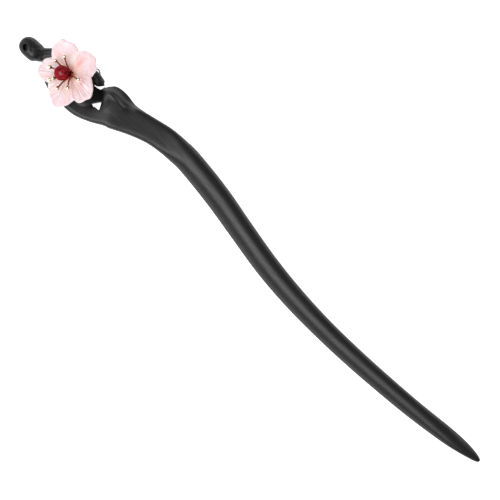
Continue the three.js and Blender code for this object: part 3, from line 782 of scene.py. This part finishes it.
# ---------------------------------------------------------------------------
# Materials
# ---------------------------------------------------------------------------
class Look:
    """A node material with short calls for the nodes that the looks below need."""

    def __init__(self, name):
        self.material = bpy.data.materials.new(name)
        self.material.use_nodes = True
        self.tree = self.material.node_tree
        self.shader = self.tree.nodes["Principled BSDF"]

    def node(self, kind, inputs=None, **settings):
        made = self.tree.nodes.new(kind)
        for key, value in settings.items():
            setattr(made, key, value)
        for key, value in (inputs or {}).items():
            if isinstance(value, bpy.types.NodeSocket):
                self.tree.links.new(value, made.inputs[key])
            else:
                made.inputs[key].default_value = value
        return made

    def set(self, **values):
        for key, value in values.items():
            self.shader.inputs[key.replace("_", " ")].default_value = value

    def link(self, socket, target):
        self.tree.links.new(socket, self.shader.inputs[target])

    def place(self, scale):
        """Object coordinates in millimetres, stretched by the scale."""
        coordinates = self.node("ShaderNodeTexCoord").outputs["Object"]
        stretched = tuple(s / MM for s in scale)
        return self.node("ShaderNodeMapping", {"Vector": coordinates, "Scale": stretched}).outputs[0]

    def stored(self, name):
        """The three numbers that the mesh stores for each vertex under a name."""
        return self.node("ShaderNodeAttribute", attribute_name=name).outputs["Vector"]

    def parts(self, vector):
        return self.node("ShaderNodeSeparateXYZ", {"Vector": vector}).outputs

    def from_axis(self, place):
        """Distance from the blossom's axis."""
        return self.math("SQRT", self.math("ADD", self.math("MULTIPLY", place[0], place[0]),
                                           self.math("MULTIPLY", place[1], place[1])))

    def noise(self, vector, scale=1.0, detail=4.0, roughness=0.5, distortion=0.0):
        made = self.node("ShaderNodeTexNoise", {
            "Vector": vector, "Scale": scale, "Detail": detail,
            "Roughness": roughness, "Distortion": distortion,
        })
        return made.outputs["Fac"]

    def ramp(self, factor, stops):
        made = self.node("ShaderNodeValToRGB", {"Fac": factor})
        elements = made.color_ramp.elements
        while len(elements) < len(stops):
            elements.new(0.5)
        for element, (position, colour) in zip(elements, stops):
            element.position = position
            element.color = (*colour, 1.0)
        return made.outputs["Color"]

    def gloss(self, facing, edge, start=0.25, end=0.85, kept=1.0):
        """Reflection strength that falls from a face seen square on to one seen edge on."""
        self.set(Specular_IOR_Level=facing)
        glance = self.node("ShaderNodeLayerWeight", {"Blend": 0.5}).outputs["Facing"]
        level = self.math("MULTIPLY", self.span(glance, start, end, facing, edge), kept)
        self.link(level, "Specular IOR Level")

    def away(self, place, middle, size, turn=0):
        """Zero at the middle of an oval patch and one at its edge, seen from above."""
        bearing = math.radians(turn)
        east = self.math("SUBTRACT", place[0], middle[0])
        north = self.math("SUBTRACT", place[1], middle[1])
        along = self.math("ADD", self.math("MULTIPLY", east, math.cos(bearing) / size[0]),
                          self.math("MULTIPLY", north, math.sin(bearing) / size[0]))
        across = self.math("SUBTRACT", self.math("MULTIPLY", north, math.cos(bearing) / size[1]),
                           self.math("MULTIPLY", east, math.sin(bearing) / size[1]))
        return self.math("ADD", self.math("MULTIPLY", along, along),
                         self.math("MULTIPLY", across, across))

    def span(self, value, low, high, new_low, new_high):
        return self.node("ShaderNodeMapRange", {
            "Value": value, "From Min": low, "From Max": high, "To Min": new_low, "To Max": new_high,
        }).outputs[0]

    def math(self, operation, *values):
        made = self.node("ShaderNodeMath", operation=operation)
        for number, value in enumerate(values):
            if isinstance(value, bpy.types.NodeSocket):
                self.tree.links.new(value, made.inputs[number])
            else:
                made.inputs[number].default_value = value
        return made.outputs[0]

    def mix(self, factor, one, two):
        made = self.node("ShaderNodeMix", data_type="RGBA")
        self.tree.links.new(factor, made.inputs["Factor"])
        for socket, value in (("A", one), ("B", two)):
            target = [s for s in made.inputs if s.name == socket and s.type == "RGBA"][0]
            if isinstance(value, bpy.types.NodeSocket):
                self.tree.links.new(value, target)
            else:
                target.default_value = (*value, 1.0)
        return [s for s in made.outputs if s.type == "RGBA"][0]

    def bump(self, height, strength, distance, under=None):
        inputs = {"Height": height, "Strength": strength, "Distance": distance * MM}
        if under is not None:
            inputs["Normal"] = under
        return self.node("ShaderNodeBump", inputs).outputs[0]


# Places of the wood with painted shade, in the recess beside the blossom, where its reflection is turned
# down:
# middle, half sizes and strength; and a painted highlight, a paler place at the end of the valley: middle,
# half sizes, bearing in degrees and colour.
PAINTED_SHADE_PLACES = [((-63.4, 1.2), (2.7, 2.5), 0.9), ((-59.7, 0.6), (1.3, 2.8), 0.45)]
PAINTED_HIGHLIGHT_PLACE = ((-53.0, 5.0), (1.8, 0.6), 22, (0.045, 0.045, 0.046))


def ebony():
    look = Look("ebony_wood")
    fibre = look.noise(look.place((0.12, 2.2, 2.2)), detail=6.0, roughness=0.6)
    pore = look.noise(look.place((0.5, 7.0, 7.0)), detail=3.0, roughness=0.55)
    hand = look.noise(look.place((0.09, 0.3, 0.3)), detail=2.0)
    colour = look.ramp(fibre, [
        (0.30, (0.0040, 0.0040, 0.0043)),
        (0.55, (0.0070, 0.0068, 0.0071)),
        (0.78, (0.0125, 0.0120, 0.0120)),
    ])
    worn = look.span(hand, 0.35, 0.7, 0.0, 1.0)
    colour = look.mix(worn, colour, (0.0095, 0.0095, 0.0100))
    place = look.parts(look.stored("own_place"))
    # Painted highlight: a paler patch of the wood at the end of the valley, where the scooped slope catches
    # the light.
    middle, size, turn, paler = PAINTED_HIGHLIGHT_PLACE
    away = look.math("ADD", look.away(place, middle, size, turn), look.span(fibre, 0.3, 0.7, -0.3, 0.3))
    look.link(look.mix(look.span(away, 0.0, 1.0, 0.8, 0.0), colour, paler), "Base Color")
    rough = look.math("ADD", look.span(fibre, 0.3, 0.7, 0.34, 0.44), look.span(pore, 0.3, 0.7, -0.03, 0.05))
    look.link(rough, "Roughness")
    coarse = look.bump(hand, 0.35, 0.25)
    grain = look.bump(fibre, 0.30, 0.05, coarse)
    look.link(look.bump(pore, 0.25, 0.03, grain), "Normal")
    kept = 1.0
    # Painted shade: the wood's reflection is turned down in the recess beside the blossom, where the blossom
    # shades it.
    for middle, size, strength in PAINTED_SHADE_PLACES:
        share = look.span(look.away(place, middle, size), 0.3, 1.0, 1.0 - strength, 1.0)
        kept = look.math("MULTIPLY", share, kept)
    look.gloss(0.45, 0.06, 0.22, 0.75, kept)
    return look.material


# Paler and pinker patches of the shell, and one painted glint: place and half sizes in the blossom, colour
# and strength.
SHELL_PATCHES_AND_GLINT = [
    ((0.3, 4.9), (0.9, 2.4), (0.96, 0.42, 0.42), 0.75),
    ((-2.5, 3.9), (1.3, 2.0), (0.86, 0.84, 0.80), 0.7),
    ((2.6, 6.2), (1.5, 2.2), (0.87, 0.80, 0.87), 0.7),
    # Painted highlight: the white glint of the ripples on one petal.
    ((7.3, 1.4), (1.9, 0.7), (1.0, 0.95, 0.96), 0.8),
    ((-6.5, -3.0), (2.4, 2.4), (0.90, 0.83, 0.88), 0.6),
    ((-6.4, 5.4), (2.2, 2.6), (0.90, 0.82, 0.88), 0.6),
    ((3.0, -7.0), (2.2, 2.0), (0.90, 0.80, 0.86), 0.5),
]


def mottled(look, colour, mottle, radius):
    """Milky and rosy mottling that sets in between the throat and the petals' outer halves."""
    outer = look.span(radius, 3.0, 6.0, 0.0, 1.0)
    milky = look.math("MULTIPLY", look.span(mottle, 0.48, 0.66, 0.0, 0.5), outer)
    rosy = look.math("MULTIPLY", look.span(mottle, 0.46, 0.34, 0.0, 0.4), outer)
    return look.mix(rosy, look.mix(milky, colour, (0.96, 0.88, 0.93)), (0.86, 0.62, 0.65))


def patched(look, colour, place, streak):
    """The patches and the painted glint of the list, with edges that the streaks break up."""
    for centre, size, tint, strength in SHELL_PATCHES_AND_GLINT:
        uneven = look.math("ADD", look.away(place, centre, size), look.span(streak, 0.3, 0.7, 0.25, -0.25))
        colour = look.mix(look.span(uneven, 0.0, 1.0, strength, 0.0), colour, tint)
    return colour


def pink_shell():
    look = Look("pink_shell")
    place = look.stored("own_place")
    parts = look.parts(place)
    petal = look.parts(look.stored("petal"))
    radius = look.from_axis(parts)
    streak_place = look.node("ShaderNodeCombineXYZ", {
        "X": look.math("MULTIPLY", petal[0], 6.5),
        "Y": look.math("MULTIPLY", radius, 0.14),
        "Z": look.math("MULTIPLY", petal[2], 7.3),
    }).outputs[0]
    streak = look.noise(streak_place, scale=1.3, detail=4.0, roughness=0.62)
    cloud = look.noise(place, scale=0.30, detail=2.0)
    # Darker and browner towards the axis: the throat's own colour together with painted shade in the throat.
    fade = look.math("ADD", radius, look.span(streak, 0.25, 0.75, -0.9, 1.5))
    colour = look.ramp(look.span(fade, 0.0, 11.0, 0.0, 1.0), [
        (0.08, (0.55, 0.15, 0.10)),
        (0.16, (0.86, 0.50, 0.41)),
        (0.30, (0.96, 0.70, 0.63)),
        (0.58, (0.89, 0.66, 0.67)),
        (0.95, (0.83, 0.66, 0.69)),
    ])
    pinker = look.mix(look.span(cloud, 0.48, 0.72, 0.0, 0.55), colour, (0.95, 0.58, 0.58))
    pearl = look.mix(look.span(streak, 0.52, 0.74, 0.0, 0.5), pinker, (0.95, 0.86, 0.87))
    mottle = look.noise(place, scale=0.9, detail=4.0, roughness=0.6, distortion=0.8)
    pearl = mottled(look, pearl, mottle, radius)
    pearl = patched(look, pearl, parts, streak)
    # Painted edge shade: a greyer band along every petal's rim.
    rim = look.mix(look.span(petal[1], 0.92, 0.985, 0.0, 0.5), pearl, (0.80, 0.70, 0.72))
    look.link(rim, "Base Color")
    look.link(look.span(cloud, 0.3, 0.7, 0.24, 0.38), "Roughness")
    look.link(look.bump(mottle, 0.25, 0.3, look.bump(streak, 0.4, 0.1)), "Normal")
    look.set(Subsurface_Weight=0.45, Subsurface_Radius=(1.0, 0.6, 0.55), Subsurface_Scale=0.9 * MM,
             Coat_Weight=0.25, Coat_Roughness=0.15, Specular_IOR_Level=0.4)
    return look.material


def red_glass():
    look = Look("red_glass")
    place = look.stored("own_place")
    swirl = look.noise(place, scale=0.55, detail=5.0, roughness=0.62, distortion=1.4)
    colour = look.ramp(swirl, [
        (0.36, (0.075, 0.0008, 0.0012)),
        (0.50, (0.21, 0.002, 0.006)),
        (0.62, (0.37, 0.006, 0.020)),
        (0.72, (0.60, 0.08, 0.11)),
    ])
    look.link(colour, "Base Color")
    look.link(look.span(swirl, 0.3, 0.7, 0.12, 0.24), "Roughness")
    look.link(look.bump(look.noise(place, scale=0.9, detail=2.0), 0.25, 0.1), "Normal")
    look.gloss(0.32, 0.0, 0.12, 0.5)
    return look.material


def wire_metal(name, dark, light, roughness, bundled=None):
    """Drawn wire or a cast ball: metal whose tone wanders, with fine draw marks.

    Bundled is a painted red reflection of the bead, laid on the wires near the blossom's axis above it,
    which also lifts their shade there.
    """
    look = Look(name)
    tone = look.noise(look.place((1.0, 1.0, 1.0)), scale=1.3, detail=4.0)
    colour = look.ramp(tone, [(0.35, dark), (0.68, light)])
    # Painted light: the red bead's reflection on the wires near the axis, lifting their shade.
    if bundled:
        parts = look.parts(look.stored("own_place"))
        share = look.math("MULTIPLY", look.span(look.from_axis(parts), 1.2, 2.4, 0.85, 0.0),
                          look.span(parts[2], -0.6, 0.2, 0.0, 1.0))
        colour = look.mix(share, colour, bundled)
    look.link(colour, "Base Color")
    look.link(look.span(tone, 0.3, 0.7, roughness - 0.06, roughness + 0.1), "Roughness")
    marks = look.noise(look.place((6.0, 6.0, 6.0)), detail=2.0)
    look.link(look.bump(marks, 0.15, 0.02), "Normal")
    look.set(Metallic=1.0)
    return look.material


def set_adhesive():
    look = Look("set_adhesive")
    cloud = look.noise(look.place((2.0, 2.0, 2.0)), detail=3.0)
    look.link(look.ramp(cloud, [(0.3, (0.55, 0.50, 0.40)), (0.7, (0.72, 0.68, 0.58))]), "Base Color")
    look.link(look.span(cloud, 0.3, 0.7, 0.35, 0.55), "Roughness")
    look.link(look.bump(cloud, 0.3, 0.1), "Normal")
    return look.material


# ---------------------------------------------------------------------------
# Assembly
# ---------------------------------------------------------------------------
def build_pin():
    in_blossom = blossom_matrix()
    # The bundled colour is painted light: the red bead's reflection on the wires near the axis.
    wire = wire_metal("copper_wire", (0.26, 0.060, 0.042), (0.44, 0.16, 0.11), 0.35,
                      bundled=(0.66, 0.12, 0.085))
    gold = wire_metal("gold_ball", (0.78, 0.62, 0.46), (0.95, 0.86, 0.72), 0.14)
    black_wire = wire_metal("blackened_wire", (0.05, 0.045, 0.045), (0.17, 0.15, 0.15), 0.3)

    stick = new_piece("carved_stick", *stick_mesh(), "wood_stick", "ebony_wood")
    stick.data.materials.append(ebony())

    vertices, faces, petal = blossom_mesh()
    blossom = new_piece("carved_blossom", vertices, faces, "shell_flower", "pink_shell", in_blossom)
    add_attribute(blossom.data, "petal", petal)
    blossom.data.materials.append(pink_shell())

    bead = new_piece("polished_bead", *bead_mesh(), "red_bead", "red_glass", in_blossom)
    bead.data.materials.append(red_glass())

    post = new_piece("twisted_post", *post_mesh(), "bead_post", "dark_wire", in_blossom)
    post.data.materials.append(wire)

    for index in range(len(PINS)):
        vertices, faces, face_materials = pin_mesh(index)
        pin = new_piece(f"ball_pin_{index + 1}", vertices, faces, f"stamen_{index + 1}", "brass_wire",
                        in_blossom)
        pin.data.materials.append(wire)
        pin.data.materials.append(gold)
        pin.data.polygons.foreach_set("material_index", face_materials)

    binding = new_piece("fine_binding", *binding_mesh(), "binding_wire", "blackened_wire")
    binding.data.materials.append(black_wire)

    plug = bpy.data.objects["bond_plug"]
    adhesive = set_adhesive()
    for slot in plug.material_slots:
        slot.material = adhesive


# ---------------------------------------------------------------------------
# Studio and camera, in metres
# ---------------------------------------------------------------------------
FLOOR_HALF = 1.5
FLOOR_GAP = 0.02 * MM
FLOOR_GLOW = 1.0
WORLD_STRENGTH = 0.28
# Name, place, the point it faces, size and power in watts.
LIGHTS = [
    ("softbox", (-0.17, -0.30, 0.79), (-0.03, 0, 0), (0.80, 0.58), 5.7),
    ("low_strip", (-0.12, -0.90, 0.24), (-0.03, 0, 0), (1.2, 0.12), 0.6),
    ("strip", (-0.05, -0.42, 0.80), (-0.03, 0, 0), (0.9, 0.07), 0.7),
    ("spark", (-0.56, 0.10, 0.75), (-0.07, 0, 0), (0.07, 0.07), 0.3),
]
CAMERA_ROLL = math.radians(42)
CAMERA_DISTANCE = 0.9
VIEW_WIDTH = 145 * MM
VIEW_CENTRE = Vector((-0.485, -2.46, 4.0)) * MM


def area_light(name, place, target, size, power):
    light = bpy.data.lights.new(name, "AREA")
    light.shape = "RECTANGLE"
    light.size, light.size_y = size
    light.energy = power
    holder = bpy.data.objects.new(name, light)
    holder.location = place
    holder.rotation_euler = (Vector(target) - Vector(place)).to_track_quat("-Z", "Y").to_euler()
    bpy.context.scene.collection.objects.link(holder)


def pale_floor():
    look = Look("pale_floor")
    cloud = look.noise(look.place((0.02, 0.02, 0.02)), detail=2.0)
    look.link(look.ramp(cloud, [(0.3, (0.80, 0.80, 0.80)), (0.7, (0.82, 0.82, 0.82))]), "Base Color")
    look.set(Roughness=0.9, Emission_Color=(1, 1, 1, 1), Emission_Strength=FLOOR_GLOW)
    return look.material


def studio():
    floor_mesh = bpy.data.meshes.new("floor")
    half, below = FLOOR_HALF, CAD_BOX[0][2] - FLOOR_GAP
    corners = [(-half, -half, below), (half, -half, below), (half, half, below), (-half, half, below)]
    floor_mesh.from_pydata(corners, [], [(0, 1, 2, 3)])
    floor = bpy.data.objects.new("floor", floor_mesh)
    bpy.context.scene.collection.objects.link(floor)
    floor.data.materials.append(pale_floor())

    world = bpy.data.worlds.new("studio")
    bpy.context.scene.world = world
    world.use_nodes = True
    background = world.node_tree.nodes["Background"]
    background.inputs["Color"].default_value = (1, 1, 1, 1)
    background.inputs["Strength"].default_value = WORLD_STRENGTH
    for light in LIGHTS:
        area_light(*light)


def camera():
    """Straight above the pin, rolled so that the point runs down to the right."""
    data = bpy.data.cameras.new("camera")
    data.sensor_width = 36
    data.lens = data.sensor_width * CAMERA_DISTANCE / VIEW_WIDTH
    data.clip_start = 0.01
    holder = bpy.data.objects.new("camera", data)
    right = Vector((math.cos(CAMERA_ROLL), math.sin(CAMERA_ROLL), 0))
    up = Vector((-math.sin(CAMERA_ROLL), math.cos(CAMERA_ROLL), 0))
    back = Vector((0, 0, 1))
    place = VIEW_CENTRE + back * CAMERA_DISTANCE
    holder.matrix_world = Matrix.Translation(place) @ Matrix((right, up, back)).transposed().to_4x4()
    bpy.context.scene.collection.objects.link(holder)
    bpy.context.scene.camera = holder


camera()
build_pin()
studio()
bpy.context.scene.view_settings.view_transform = "Standard"
